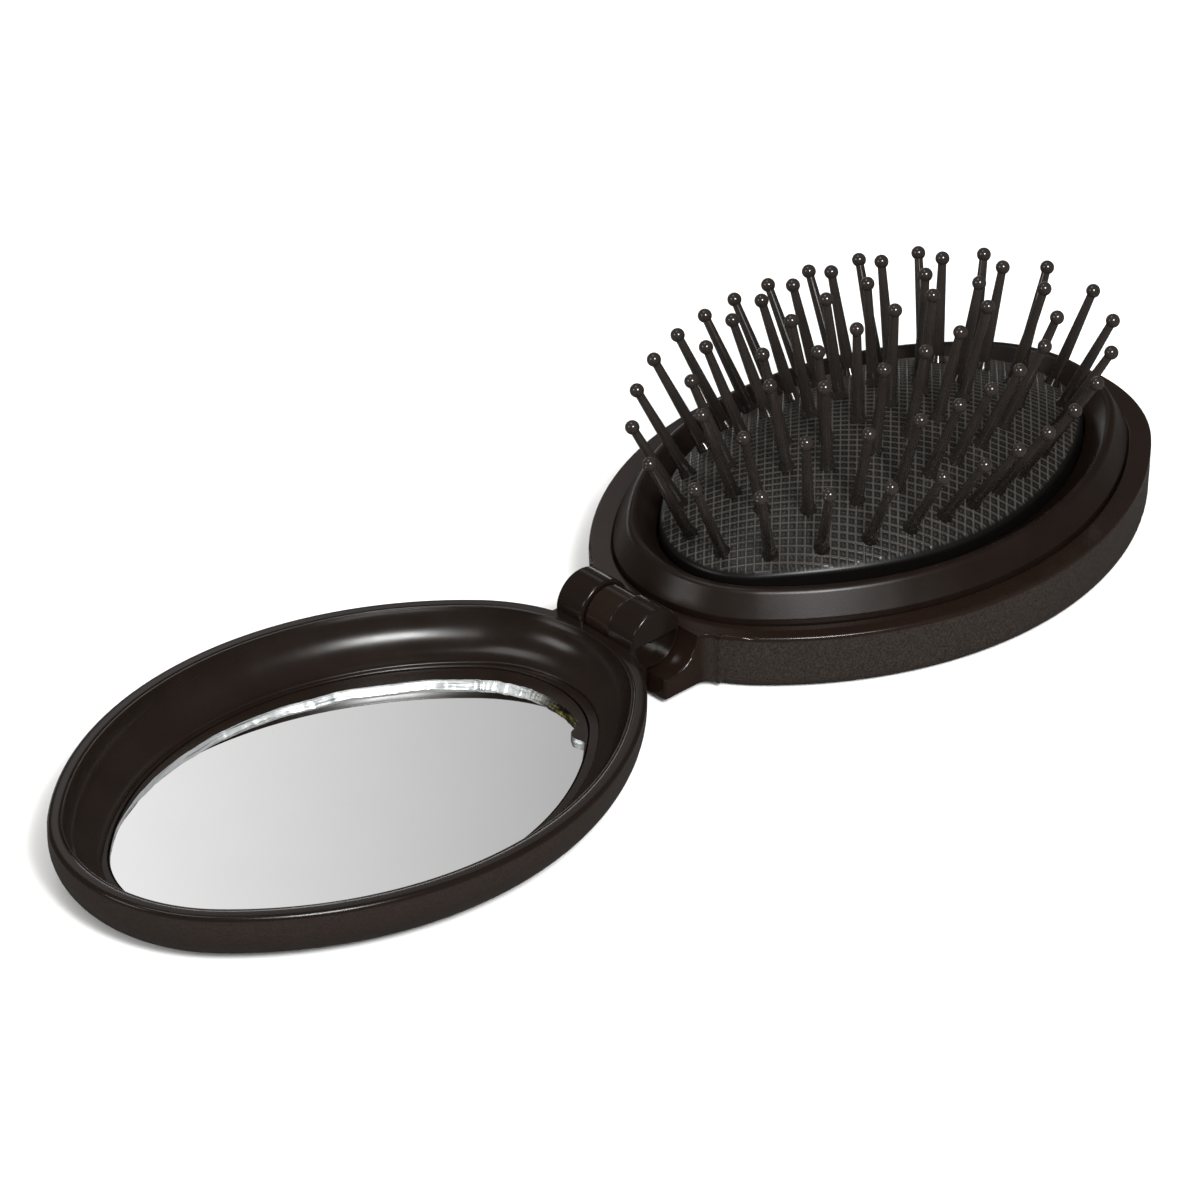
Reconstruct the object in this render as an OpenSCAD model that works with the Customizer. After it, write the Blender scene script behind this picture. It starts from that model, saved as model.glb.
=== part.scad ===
// Folding hairbrush with mirror: two shallow oval halves on one hinge.
// The right half (+X) carries the pins on a domed rubber cushion, the left half (-X) the mirror.
// Millimetres, +Z up. The origin lies on the table, below the middle of the hinge pin.

/* [Halves] */
// Half length of each oval half
half_l = 45; // [43:0.5:48]
// Half width of each oval half
half_w = 32.4; // [31.5:0.1:33.5]
// From the hinge axis to the near end of each half
hinge_gap = 3.4; // [3.4:0.05:3.7]
// Height of both rims above the table
rim_z = 8.5; // [8.5:0.1:9.5]

/* [Casing] */
// Width of the flat ledge around the bezel
ledge_w = 3.15; // [3.1:0.05:3.3]
// Round along the bottom edge of the casing
casing_round = 2.0; // [1.4:0.1:2.1]
// Draft angle of the casing wall
casing_draft = 2; // [1:0.5:2.5]

/* [Bezel] */
// Height of the bezel crest above the rim
crest_h = 4.8; // [4.4:0.05:5]
// Inset of the crest from the outline
crest_in = 5.65; // [5.5:0.05:5.9]
// Inset of the bezel opening
bezel_in = 9.3; // [9:0.05:9.35]

/* [Cushion] */
// Height of the dome's top above the rim
dome_top = 12.4; // [11.8:0.1:12.6]
// Radius of the dome along the length
dome_rx = 73; // [71:0.5:76]
// Radius of the dome across the width
dome_ry = 33.6; // [33:0.1:34.5]
// Thickness of the rubber
rubber_t = 1.2; // [1:0.1:1.3]

/* [Pins] */
// From the rubber to the middle of the ball tip
pin_l = 14.7; // [13.5:0.1:14.8]
// Diameter of the ball tip
ball_d = 2.0; // [1.8:0.02:2.1]
// Diameter of the shaft at its foot
pin_foot_d = 1.76; // [1.6:0.02:1.8]
// Diameter of the shaft below the ball
pin_neck_d = 1.16; // [1:0.02:1.24]
// Diameter of the flange under the rubber
pin_head_d = 2.9; // [2.6:0.1:3]

/* [Mirror] */
// Width of the lid's flat lip
lip_w = 2.1; // [2:0.05:2.2]
// Depth of the glass below the rim
glass_depth = 6.1; // [6:0.05:6.2]
// Thickness of the glass
glass_t = 1.1; // [0.9:0.1:1.1]
// Inset of the edge of the glass
glass_in = 7.9; // [7.8:0.1:8.5]

/* [Hinge] */
// Radius of the lid's two knuckles
knuckle_r = 4.4; // [4.1:0.05:4.45]
// Radius of the casing's middle knuckle
knuckle_mid_r = 3.9; // [3.7:0.05:4.1]
// Length of the middle knuckle
knuckle_mid = 4.8; // [4.4:0.1:5.2]
// Length of each outer knuckle
knuckle_end = 5.0; // [4.6:0.1:5.4]
// Diameter of the hinge pin
hinge_pin_d = 2.0; // [1.6:0.1:2.2]
// Width of the lug that cradles the knuckles
lug_w = 21.4; // [20:0.2:23]

/* [Hidden] */
$fn = 96;
far = 200;                             // beyond everything
fit = 0.05;                            // glued or pressed neighbours
weld = 0.002;
weld_depth = 0.05;                     // of a corner's radius
slide_fit = 0.2;                       // bezel in the casing
axis_up = 0.2;                         // hinge axis above the rims: the closed lips stay 0.4 apart
axis_z = rim_z + axis_up;
centre_x = hinge_gap + half_l;         // middle of each half
// The outline is four arcs that meet at 45 degrees, so every inset keeps the same four centres.
arc_c = (half_l - half_w) / (2 - sqrt(2));
end_r = half_l - arc_c;
flank_r = end_r + arc_c * sqrt(2);
flank_from = 0.8 * arc_c;              // what lies nearer to a flank arc's centre is left to its opposite

// casing
ledge_lip_t = 0.6;                     // overhang that keeps the bezel from lifting out
guide_in = 2.6;                        // inset of the guide wall
top_edge = 0.3;                        // small round on the rim
wall_lean = rim_z * tan(casing_draft);
lug_reach = 1.3;                       // lug past the hinge axis, to the mirror's side
lug_foot = 1.0;                        // underside of the lug above the table
lug_inner = 2.2;                       // lug's root, inside the wall
lug_fillet = 2.0;
lug_edge = 0.45;                       // round on the lug's corners
trough_gap = 0.4;                      // around the turning knuckles
trough_r = knuckle_r + trough_gap;
trough_edge = 0.3;                     // round where the trough leaves the lug

// bezel, retainer and cushion, heights from the rim
bezel_foot = -1.1;
bezel_edge_h = 0.84;
bezel_outer = ledge_w + slide_fit;
bezel_wall = 1.3;
bezel_foot_t = 0.4;                    // flange that the ledge holds down
bezel_edge_r = 0.25;
crest_r = 1.0;
bezel_lip_z = 2.0;
flange_top = 0.8;
flange_bottom = -0.1;
flange_outer = bezel_outer + bezel_wall + 0.45;
clamp_in = 8.3;                        // the bezel presses the cushion from here inwards
retainer_in = 10.1;
skirt_gap = 0.3;
skirt_outer = bezel_in + skirt_gap;
skirt_inner = skirt_outer + rubber_t;
tube_c = dome_rx - dome_ry;            // the dome is a patch of a torus about an axis along Y
dome_from = dome_rx / 2;               // only the torus's outer part is drawn
dome_half_l = half_l - skirt_outer;
dome_half_w = half_w - skirt_outer;

// pins
ring_a = [for (share = [0.915, 0.695, 0.472]) share * dome_half_l];    // half axes of the rings of pins
ring_b = [for (share = [0.842, 0.588, 0.294]) share * dome_half_w];
ring_n = [26, 20, 12];
ring_name = ["pins_outer_", "pins_second_", "pins_third_"];
ring_start = [0.5, 0.5, 0];            // place of a ring's first pin, as a share of its step
ring_spread = 10;                      // crowds the pins towards the ends, in degrees
ring_pull = [0.025, 0, 0];             // draws the outer ring in at its corners
centre_x1 = 0.0862 * dome_half_l;      // first pin of the middle row, and a third of the last
hole_d = pin_foot_d + 0.16;
pin_head_t = 0.65;
pin_play = 0.15;
collar_d = 2.3;
collar_h = 1.1;
collar_edge = 0.2;

// mirror half, heights from the rim
bowl_drop = 2.0;                       // straight wall below the lip
bowl_edge = 0.45;                      // round on the rim
bowl_r = rim_z - bowl_drop;            // outer arc, tangent to the bottom
bowl_wall = 1.75;
cove_r = 5.1;
cove_in = lip_w + cove_r;              // inset of the centre of the cove
cove_up = 0.3;
cove_end_in = 6.6;                     // the cove ends in a step here
frame_ledge = 5.95;
frame_in = glass_in - 0.2;
tape_t = 0.2;
pocket_z = glass_depth + glass_t + tape_t;
pocket_in = glass_in - 0.5;

// hinge
arm_x = -lug_reach - 0.4;              // face of the lid's arms towards the lug
arm_root = -hinge_gap - 2.2;           // arm's root, inside the wall
knuckle_gap = 0.1;
knuckle_y = knuckle_mid / 2 + knuckle_gap;
knuckle_far = knuckle_y + knuckle_end;
knuckle_edge = 0.35;
knuckle_mid_gap = 0.3;                 // hollow of the lid's wall around the middle knuckle
bore_play = 0.06;
end_recess = 1.0;                      // lower half of each end face is set back
end_rim = 0.6;
pin_low = -knuckle_far + end_recess - 0.4;   // stands out of the recess, under the closed half
pin_high = knuckle_far - 0.15;               // open end of the bore, where the pin goes in
pin_edge = 0.3;

function two(n) = str(n < 10 ? "0" : "", n);

// ---- rounded corners of a flat shape --------------------------------------------------------

function unit(v) = v / norm(v);
function half_angle(from, corner, to) = acos(unit(from - corner) * unit(to - corner)) / 2;

// The two points that take the corner's place, where the round meets the sides.
function corner_cut(from, corner, to, r) =
    let (back = r / tan(half_angle(from, corner, to)))
    [corner + back * unit(from - corner), corner + back * unit(to - corner)];

// The round that fills the cut. It stands out by a hair and reaches a little into the shape,
// so that the two join along clean edges.
module corner_arc(from, corner, to, r) {
    half = half_angle(from, corner, to);
    inward = unit(unit(from - corner) + unit(to - corner));
    translate(corner + inward * r / sin(half)) rotate(atan2(-inward[1], -inward[0])) intersection() {
        circle(r + weld);
        translate([r * (sin(half) - weld_depth), -2 * r]) square([2 * r, 4 * r]);
    }
}

// ---- the oval -------------------------------------------------------------------------------

// Moves in a coarse and a fine step: neighbouring arcs then meet to the last decimal.
function coarse(v) = round(v * 100) / 100;
module shift(v) {
    translate([for (x = v) coarse(x)]) translate([for (x = v) x - coarse(x)]) children();
}

// Sweeps its children around the outline. They are drawn with x = minus the inset, y = height,
// and what lies past an arc's centre is left out.
module oval_sweep() {
    for (turn = [0, 180]) rotate([0, 0, turn]) {
        shift([arc_c, 0, 0]) rotate_extrude(angle = 90, start = -45) radial_part(end_r, 0) children();
        shift([0, -arc_c, 0]) rotate_extrude(angle = 90, start = 45)
            radial_part(flank_r, flank_from) children();
    }
}

module radial_part(radius, from) {
    intersection() {
        shift([radius, 0]) children();
        translate([from, -far]) square([far, 2 * far]);
    }
}

module oval_plate(inset, low, high) {
    oval_sweep() translate([-far, low]) square([far - inset, high - low]);
}

module on_brush() { translate([centre_x, 0, rim_z]) children(); }
module on_mirror() { translate([-centre_x, 0, rim_z]) children(); }

// ---- casing ---------------------------------------------------------------------------------

module casing_profile() {
    low = -rim_z;
    wall_top = [0, 0];
    wall_foot = [-wall_lean, low];
    guide_foot = [-guide_in, low];
    guide_top = [-ledge_w, 0];
    polygon(concat(
        corner_cut(guide_top, wall_top, wall_foot, top_edge),
        corner_cut(wall_top, wall_foot, guide_foot, casing_round),
        [guide_foot, [-guide_in, -ledge_lip_t], [-ledge_w, -ledge_lip_t], guide_top]));
    corner_arc(guide_top, wall_top, wall_foot, top_edge);
    corner_arc(wall_top, wall_foot, guide_foot, casing_round);
}

// Plan of the lug: a block whose corners run into the end wall with concave rounds.
module lug_plan() {
    side = lug_w / 2;
    root_x = hinge_gap + lug_inner + 2;
    round_x = hinge_gap + end_r
        - sqrt(pow(end_r + lug_fillet, 2) - pow(side + lug_fillet, 2));
    left = [-lug_reach, -side];
    right = [-lug_reach, side];
    polygon(concat(
        corner_cut([root_x, -side], left, right, lug_edge),
        corner_cut(left, right, [root_x, side], lug_edge),
        [[root_x, side], [root_x, -side]]));
    corner_arc([root_x, -side], left, right, lug_edge);
    corner_arc(left, right, [root_x, side], lug_edge);
    for (s = [-1, 1]) difference() {
        translate([round_x, s > 0 ? side - 1 : -side - lug_fillet]) square([lug_fillet * 2, lug_fillet + 1]);
        translate([round_x, s * (side + lug_fillet)]) circle(lug_fillet);
    }
}

module hinge_rod(radius, low, high) {
    translate([0, high, axis_z]) rotate([90, 0, 0]) cylinder(r = radius, h = high - low);
}

// A rod along the hinge axis with a round on both ends.
module rounded_rod(radius, low, high, edge) {
    translate([0, 0, axis_z]) rotate([-90, 0, 0]) rotate_extrude() {
        polygon(concat(
            [[0, low]],
            corner_cut([0, low], [radius, low], [radius, high], edge),
            corner_cut([radius, low], [radius, high], [0, high], edge),
            [[0, high]]));
        corner_arc([0, low], [radius, low], [radius, high], edge);
        corner_arc([radius, low], [radius, high], [0, high], edge);
    }
}

// The hollow that one of the lid's knuckles turns in, on the side s of the middle knuckle.
// It opens with a round at the lug's side face.
module trough(s) {
    side = lug_w / 2;
    past = side + lug_fillet;
    translate([0, 0, axis_z]) rotate([-90 * s, 0, 0]) rotate_extrude() difference() {
        polygon(concat(
            [[0, knuckle_mid / 2], [trough_r, knuckle_mid / 2]],
            corner_cut([trough_r, 0], [trough_r, side], [far, side], trough_edge),
            [[trough_r + trough_edge, past], [0, past]]));
        corner_arc([trough_r, 0], [trough_r, side], [far, side], trough_edge);
    }
}

module brush_casing() {
    color("#2b2420") difference() {
        union() {
            on_brush() oval_sweep() casing_profile();
            difference() {
                translate([0, 0, lug_foot]) linear_extrude(rim_z - lug_foot) lug_plan();
                on_brush() oval_plate(guide_in - fit, -far, far);
            }
            rounded_rod(knuckle_mid_r, -knuckle_mid / 2, knuckle_mid / 2, knuckle_edge);
        }
        for (s = [-1, 1]) trough(s);
        hinge_rod(hinge_pin_d / 2 + bore_play, -far, far);
    }
}

// ---- bezel, retainer and cushion ------------------------------------------------------------

// Steep cone up to a rounded crest, then a bevel down to the opening; cored from below.
module bezel_ring() {
    foot_outer = -guide_in - slide_fit;
    foot_top = bezel_foot + bezel_foot_t;
    edge = [-bezel_outer, bezel_edge_h];
    crest = [-crest_in, crest_h];
    lip = [-bezel_in, bezel_lip_z];
    lip_foot = [-bezel_in, flange_top];
    core_outer = -bezel_outer - bezel_wall;
    color("#1c1613") on_brush() oval_sweep() difference() {
        union() {
            polygon(concat(
                [[foot_outer, bezel_foot], [foot_outer, foot_top], [-bezel_outer, foot_top]],
                corner_cut([-bezel_outer, foot_top], edge, crest, bezel_edge_r),
                corner_cut(edge, crest, lip, crest_r),
                corner_cut(crest, lip, lip_foot, bezel_edge_r),
                [lip_foot, [-bezel_in, bezel_foot]]));
            corner_arc([-bezel_outer, foot_top], edge, crest, bezel_edge_r);
            corner_arc(edge, crest, lip, crest_r);
            corner_arc(crest, lip, lip_foot, bezel_edge_r);
        }
        polygon([[core_outer, bezel_foot - 1], [core_outer, bezel_edge_h + 0.2],
                 [-crest_in, crest_h - bezel_wall - 0.6], [-clamp_in, flange_top + 0.6],
                 [-clamp_in, flange_top], [-far, flange_top], [-far, bezel_foot - 1]]);
    }
}

module cushion_retainer() {
    color("#1c1613") on_brush() oval_sweep()
        polygon([[-flange_outer + 0.35, bezel_foot], [-flange_outer + 0.35, flange_bottom],
                 [-retainer_in, flange_bottom], [-retainer_in, bezel_foot]]);
}

module dome_tube(radius) {
    translate([0, 0, dome_top - dome_rx]) rotate([90, 0, 0]) rotate([0, 0, 50])
        rotate_extrude(angle = 80) intersection() {
            translate([tube_c, 0]) circle(radius);
            translate([dome_from, -far]) square([far, 2 * far]);
        }
}

module cushion_pad() {
    color("#3a2f29") on_brush() difference() {
        union() {
            intersection() {
                dome_tube(dome_ry);
                oval_plate(skirt_outer, flange_bottom, dome_top + 1);
            }
            difference() {
                oval_plate(flange_outer, flange_bottom, flange_top);
                oval_plate(skirt_inner, -far, far);
            }
        }
        intersection() {
            dome_tube(dome_ry - rubber_t);
            oval_plate(skirt_inner, flange_bottom - 1, dome_top + 1);
        }
        for (ring = [0:2]) for (k = [0:ring_n[ring] - 1]) on_ring(ring, k) pin_hole();
        for (i = [-3, -1, 1, 3]) on_dome(i * centre_x1, 0) pin_hole();
    }
}

// ---- pins -----------------------------------------------------------------------------------

// Puts its children on the dome above (x, y), with +Z square to the rubber.
module on_dome(x, y) {
    across = asin(y / dome_ry);
    radius = tube_c + dome_ry * cos(across);
    along = asin(x / radius);
    translate([x, y, dome_top - dome_rx + radius * cos(along)])
        rotate([0, along, 0]) rotate([-across, 0, 0]) children();
}

module on_ring(ring, k) {
    t = (ring_start[ring] + k) * 360 / ring_n[ring];
    angle = t + ring_spread * sin(2 * t);
    pull = 1 - ring_pull[ring] * pow(sin(2 * angle), 2);
    on_dome(ring_a[ring] * pull * cos(angle), ring_b[ring] * pull * sin(angle)) children();
}

module pin_hole() {
    translate([0, 0, -3 * rubber_t]) cylinder(d = hole_d, h = 4 * rubber_t, $fn = 24);
}

module pin() {
    head_top = -rubber_t - pin_play;
    rotate_extrude($fn = 24) {
        polygon([[0, head_top - pin_head_t], [pin_head_d / 2, head_top - pin_head_t],
                 [pin_head_d / 2, head_top], [pin_foot_d / 2, head_top], [pin_foot_d / 2, fit],
                 [collar_d / 2, fit], [collar_d / 2, collar_edge], [pin_foot_d / 2, collar_h],
                 [pin_neck_d / 2, pin_l], [0, pin_l]]);
        intersection() {
            translate([0, pin_l]) circle(d = ball_d);
            translate([0, pin_l - ball_d]) square(2 * ball_d);
        }
    }
}

// Two pins that face each other across the middle of the cushion.
module ring_pair(ring, k) {
    color("#241d19") on_brush() {
        on_ring(ring, k - 1) pin();
        on_ring(ring, k - 1 + ring_n[ring] / 2) pin();
    }
}

module centre_pair(k) {
    color("#241d19") on_brush() for (s = [-1, 1]) on_dome(s * (2 * k - 1) * centre_x1, 0) pin();
}

// ---- mirror half ----------------------------------------------------------------------------

module bowl_profile() {
    rim = [0, 0];
    rim_inner = [-bowl_wall, 0];
    outer_corner = [0, -rim_z];
    floor_end = [-pocket_in - 1, -rim_z];
    inner_r = bowl_r - bowl_wall;
    inner_rim = [-bowl_wall, 1];
    inner_corner = [-bowl_wall, -bowl_drop - inner_r];
    inner_end = [-far, -bowl_drop - inner_r];
    difference() {
        union() {
            polygon(concat(
                corner_cut(rim_inner, rim, outer_corner, bowl_edge),
                corner_cut(rim, outer_corner, floor_end, bowl_r),
                [floor_end, [floor_end[0], 0]]));
            corner_arc(rim_inner, rim, outer_corner, bowl_edge);
            corner_arc(rim, outer_corner, floor_end, bowl_r);
        }
        polygon(concat(
            [inner_rim], corner_cut(inner_rim, inner_corner, inner_end, inner_r), [inner_end, [-far, 1]]));
        corner_arc(inner_rim, inner_corner, inner_end, inner_r);
        translate([-far, -pocket_z]) square([far - pocket_in, far]);
    }
}

module bowl() {
    on_mirror() {
        oval_sweep() bowl_profile();
        oval_plate(pocket_in + 0.5, -rim_z, -pocket_z);
    }
}

module mirror_shell() {
    color("#2b2420") difference() {
        union() {
            bowl();
            for (s = [-1, 1]) {
                low = s > 0 ? knuckle_y : -knuckle_far;
                rounded_rod(knuckle_r, low, low + knuckle_end, knuckle_edge);
                difference() {
                    translate([arm_root, low, 0]) cube([arm_x - arm_root, knuckle_end, rim_z]);
                    on_mirror() oval_plate(bowl_wall - fit, -far, far);
                }
            }
        }
        hinge_rod(knuckle_mid_r + knuckle_mid_gap, -knuckle_y, knuckle_y);
        hinge_rod(hinge_pin_d / 2, pin_low - fit, far);
        // The lower half of each outer end face is set back and shows the end of the pin.
        for (s = [-1, 1]) intersection() {
            low = s > 0 ? knuckle_far - end_recess : -far;
            hinge_rod(knuckle_r - end_rim, low, low + far - (s > 0 ? 0 : knuckle_far - end_recess));
            translate([-far, -far, 0]) cube([2 * far, 2 * far, axis_z]);
        }
    }
}

// A ring with a cove that falls to a narrow step around the glass.
module mirror_frame() {
    outer_r = bowl_r - bowl_wall - fit;
    outer_x = -bowl_wall - fit;
    top = [outer_x, 0];
    corner = [outer_x, -bowl_drop - outer_r];
    foot = [-frame_in, -bowl_drop - outer_r];
    cove_top = [-lip_w, 1];
    cove_corner = [-lip_w, -cove_up - cove_r];
    cove_low = [-cove_in - 1, -cove_up - cove_r];
    color("#1c1613") on_mirror() oval_sweep() difference() {
        union() {
            polygon(concat(
                [top], corner_cut(top, corner, foot, outer_r), [foot, [-frame_in, 0]]));
            corner_arc(top, corner, foot, outer_r);
        }
        polygon(concat(
            [cove_top], corner_cut(cove_top, cove_corner, cove_low, cove_r), [cove_low, [-cove_in - 1, 1]]));
        corner_arc(cove_top, cove_corner, cove_low, cove_r);
        translate([-far, -frame_ledge]) square([far - cove_end_in, far]);
    }
}

module mirror_glass() {
    color("#d4d6d8") on_mirror() oval_plate(glass_in, -glass_depth - glass_t, -glass_depth);
}

module mirror_tape() {
    color("white") on_mirror() oval_plate(glass_in + 1.5, -pocket_z, -glass_depth - glass_t);
}

module hinge_pin() {
    color("#8d8a86") rounded_rod(hinge_pin_d / 2, pin_low, pin_high, pin_edge);
}

brush_casing();
bezel_ring();
cushion_retainer();
cushion_pad();
for (ring = [0:2]) for (k = [1:ring_n[ring] / 2])
    ring_pair(ring, k);
for (k = [1:2]) centre_pair(k);
mirror_shell();
mirror_frame();
mirror_glass();
mirror_tape();
hinge_pin();
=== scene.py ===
"""Folding hairbrush with mirror: looks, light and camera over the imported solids.

Metres, in the frame of the CAD model: +Z up, +X from the hinge along the brush half. The forms
of each piece are worked out in millimetres, from the middle of its half and the plane of the rim.
"""

import math

import bmesh
import bpy
import numpy as np
from bpy.props import FloatProperty, IntProperty, PointerProperty
from mathutils import Matrix, Vector, noise


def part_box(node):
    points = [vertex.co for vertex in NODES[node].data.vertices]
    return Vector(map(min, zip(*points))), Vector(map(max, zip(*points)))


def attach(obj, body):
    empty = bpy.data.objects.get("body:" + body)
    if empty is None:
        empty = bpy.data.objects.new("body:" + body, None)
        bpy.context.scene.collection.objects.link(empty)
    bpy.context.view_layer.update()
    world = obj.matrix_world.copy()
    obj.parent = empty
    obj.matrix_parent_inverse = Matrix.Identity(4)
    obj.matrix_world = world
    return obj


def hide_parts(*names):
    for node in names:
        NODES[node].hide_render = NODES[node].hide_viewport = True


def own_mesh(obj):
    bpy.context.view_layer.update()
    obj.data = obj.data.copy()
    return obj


bl_info = {
    "name": "Folding hairbrush with mirror",
    "version": (1, 0, 0),
    "blender": (4, 5, 0),
    "location": "3D View > Sidebar > Hairbrush",
    "description": "Dresses the solids of a folding hairbrush and sets it on a pale floor",
    "category": "Object",
}

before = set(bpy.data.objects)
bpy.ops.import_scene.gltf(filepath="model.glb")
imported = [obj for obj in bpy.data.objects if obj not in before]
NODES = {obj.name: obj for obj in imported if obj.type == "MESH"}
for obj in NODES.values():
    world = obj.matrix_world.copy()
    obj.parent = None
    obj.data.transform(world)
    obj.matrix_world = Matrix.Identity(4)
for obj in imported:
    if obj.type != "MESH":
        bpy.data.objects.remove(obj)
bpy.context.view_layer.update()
MM = 0.001


# ---- sizes shared by the pieces -------------------------------------------------------------

def box_mm(node):
    """Lowest and highest corner of a CAD node, in millimetres."""
    low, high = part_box(node)
    return np.array(low) / MM, np.array(high) / MM


# From the hinge axis to the outline of either half, and the height of the rim over the floor.
HINGE_GAP = 3.4
RIM_Z = 8.5
CASE_LOW, CASE_HIGH = box_mm("brush_casing")
HALF_W = float(CASE_HIGH[1] - CASE_LOW[1]) / 2
HALF_L = float(CASE_HIGH[0] - HINGE_GAP) / 2
CENTRE_X = HINGE_GAP + HALF_L
# Each half is an oval of four arcs that meet where the outward normal stands at 45 degrees.
ARC_C = (HALF_L - HALF_W) / (2 - math.sqrt(2))
END_R = HALF_L - ARC_C
FLANK_R = END_R + ARC_C * math.sqrt(2)
# The cushion's crown over the rim, and its radii along and across the brush.
DOME_TOP = 12.4
DOME_RX = 73.0
DOME_RY = 33.6


def inset_of(x, y):
    """How far the points (x, y) of an oval half lie inside its outline."""
    ax, ay = np.abs(x), np.abs(y)
    end = END_R - np.hypot(ax - ARC_C, ay)
    flank = FLANK_R - np.hypot(ax, ay + ARC_C)
    return np.where(ax - ARC_C > ay, end, flank)


def oval_point(angle, inset):
    """The point of the inset oval whose outward normal has this angle, in radians."""
    nx, ny = math.cos(angle), math.sin(angle)
    if abs(nx) > abs(ny):
        return math.copysign(ARC_C, nx) + (END_R - inset) * nx, (END_R - inset) * ny
    return (FLANK_R - inset) * nx, (FLANK_R - inset) * ny - math.copysign(ARC_C, ny)


def nearest_on_oval(x, y, inset):
    """Moves a point along its normal onto the inset oval."""
    sx, sy = math.copysign(1, x), math.copysign(1, y)
    ax, ay = abs(x), abs(y)
    if ax - ARC_C > ay:
        cx, cy, radius = ARC_C, 0.0, END_R - inset
    else:
        cx, cy, radius = 0.0, -ARC_C, FLANK_R - inset
    length = math.hypot(ax - cx, ay - cy)
    return sx * (cx + (ax - cx) * radius / length), sy * (cy + (ay - cy) * radius / length)


def dome_height(x, y):
    """Height of the cushion above the rim."""
    across = DOME_RY - np.sqrt(DOME_RY ** 2 - y ** 2)
    radius = DOME_RX - across
    return DOME_TOP - DOME_RX + np.sqrt(radius ** 2 - x ** 2)


# ---- nodes ----------------------------------------------------------------------------------

UNIT = (0.0, 1.0)


def linear(colour):
    """Turns an sRGB hex colour into linear RGBA."""
    parts = [int(colour[i:i + 2], 16) / 255 for i in (1, 3, 5)]
    return [c / 12.92 if c <= 0.04045 else ((c + 0.055) / 1.055) ** 2.4 for c in parts] + [1.0]


def add_node(tree, kind, inputs=None, **settings):
    """Adds a node, sets its properties, and fills its inputs with values or links."""
    node = tree.nodes.new(kind)
    for key, value in settings.items():
        setattr(node, key, value)
    for key, value in (inputs or {}).items():
        if isinstance(value, bpy.types.NodeSocket):
            tree.links.new(value, node.inputs[key])
        else:
            node.inputs[key].default_value = value
    return node


def new_material(name):
    """An empty node material and its tree."""
    material = bpy.data.materials.new(name)
    material.use_nodes = True
    material.node_tree.nodes.clear()
    return material, material.node_tree


def surface(tree, kind, inputs):
    """Adds the shader of a material and links it to the output."""
    shader = add_node(tree, kind, inputs)
    add_node(tree, "ShaderNodeOutputMaterial", {"Surface": shader.outputs[0]})


def remap(tree, value, source, target, **settings):
    """Maps the range source of a linked value onto the range target."""
    return add_node(tree, "ShaderNodeMapRange", {
        "Value": value, "From Min": source[0], "From Max": source[1],
        "To Min": target[0], "To Max": target[1]}, **settings).outputs[0]


def grain(tree, size_mm, detail=2.0):
    """Noise whose features measure size_mm on the object."""
    place = add_node(tree, "ShaderNodeTexCoord").outputs["Object"]
    return add_node(tree, "ShaderNodeTexNoise", {
        "Vector": place, "Scale": 1 / (size_mm * MM), "Detail": detail}).outputs["Fac"]


def spread(tree, factor, low, high):
    """Maps the middle of a noise factor, where nearly all of it lies, onto low..high."""
    return remap(tree, factor, (0.3, 0.7), (low, high))


def blend_values(tree, factor, first, second):
    """Mixes two numbers, given or linked."""
    return add_node(tree, "ShaderNodeMix", {0: factor, 2: first, 3: second}, data_type="FLOAT").outputs[0]


def blend_colours(tree, factor, first, second):
    """Mixes two colours, given or linked."""
    return add_node(tree, "ShaderNodeMix", {0: factor, 6: first, 7: second}, data_type="RGBA").outputs[2]


def two_colours(tree, factor, first, second):
    """Mixes two hex colours."""
    return blend_colours(tree, factor, linear(first), linear(second))


def ramp(tree, value, *stops):
    """A colour ramp between two stops, each a place and a hex colour."""
    node = add_node(tree, "ShaderNodeValToRGB", {"Fac": value})
    for stop, (place, colour) in zip(node.color_ramp.elements, stops):
        stop.position = place
        stop.color = linear(colour)
    return node.outputs[0]


def bumped(tree, height, depth_mm, strength=1.0, normal=None):
    """Normals of a relief this deep, for a height from 0 to 1, over other normals if given."""
    inputs = {"Height": height, "Distance": depth_mm * MM, "Strength": strength}
    if normal is not None:
        inputs["Normal"] = normal
    return add_node(tree, "ShaderNodeBump", inputs).outputs["Normal"]


def product(tree, first, second):
    """Multiplies two linked values."""
    return add_node(tree, "ShaderNodeMath", {0: first, 1: second}, operation="MULTIPLY").outputs[0]


def along_axis(tree, axis, low_mm, high_mm, absolute=False):
    """0 at low_mm and 1 at high_mm along one axis of the CAD frame, and level beyond them."""
    place = add_node(tree, "ShaderNodeTexCoord").outputs["Object"]
    value = add_node(tree, "ShaderNodeSeparateXYZ", {"Vector": place}).outputs[axis]
    if absolute:
        value = add_node(tree, "ShaderNodeMath", {0: value}, operation="ABSOLUTE").outputs[0]
    return remap(tree, value, (low_mm * MM, high_mm * MM), UNIT, interpolation_type="SMOOTHSTEP")


# Where the edges change from the hinge's to the halves', as a distance from the hinge axis, mm.
EDGE_CHANGE = (5.0, 8.0)


def soft_edges(tree, radius_mm, hinge_mm=None):
    """Normals that run round every sharp edge, as a mould's corners do, tighter at the hinge."""
    radius = radius_mm * MM
    if hinge_mm:
        away = along_axis(tree, "X", *EDGE_CHANGE, absolute=True)
        radius = blend_values(tree, away, hinge_mm * MM, radius)
    return add_node(tree, "ShaderNodeBevel", {"Radius": radius}, samples=8).outputs[0]


# ---- materials ------------------------------------------------------------------------------

# What moulded plastics share: the size of their tone patches, and the look of polished parts.
PATCH_MM = 6.0
PLASTIC_IOR = 1.45
POLISHED_ROUGHNESS = 0.17
HINGE_EDGE_MM = 0.1
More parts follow.
